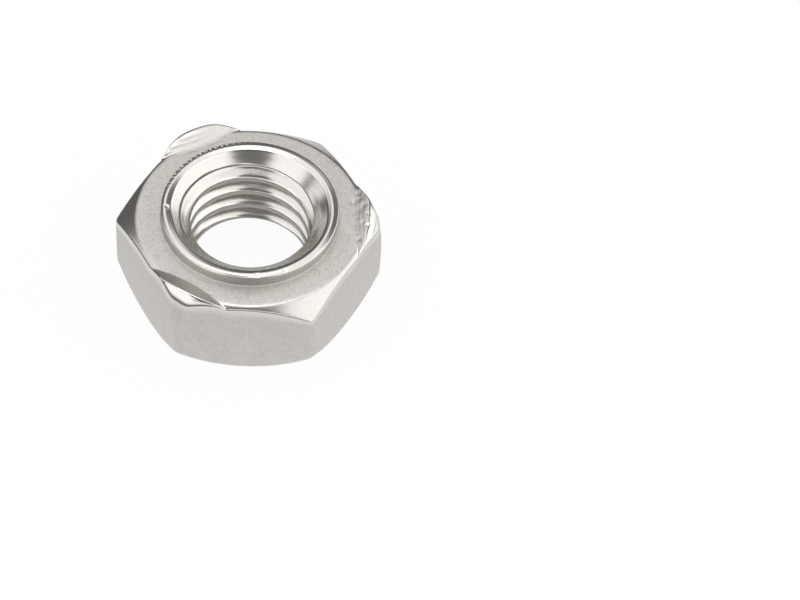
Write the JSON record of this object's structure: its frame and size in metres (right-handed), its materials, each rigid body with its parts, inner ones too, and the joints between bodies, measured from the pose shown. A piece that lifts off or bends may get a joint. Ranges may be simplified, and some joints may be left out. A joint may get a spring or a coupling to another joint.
{
  "type": "weld nut",
  "caption": "Hexagon weld nut with a pilot collar, weld projections at alternate corners and a countersunk metric thread.",
  "frame": {"origin": "centre of the plain end face", "axes": "+Z along the thread axis towards the pilot collar, +X through a corner that carries a weld projection"},
  "size_m": [0.0194, 0.0168, 0.0081],
  "materials": {
    "steel": "satin"
  },
  "bodies": {
    "root": {"weld_nut": "steel"}
  },
  "joints": []
}
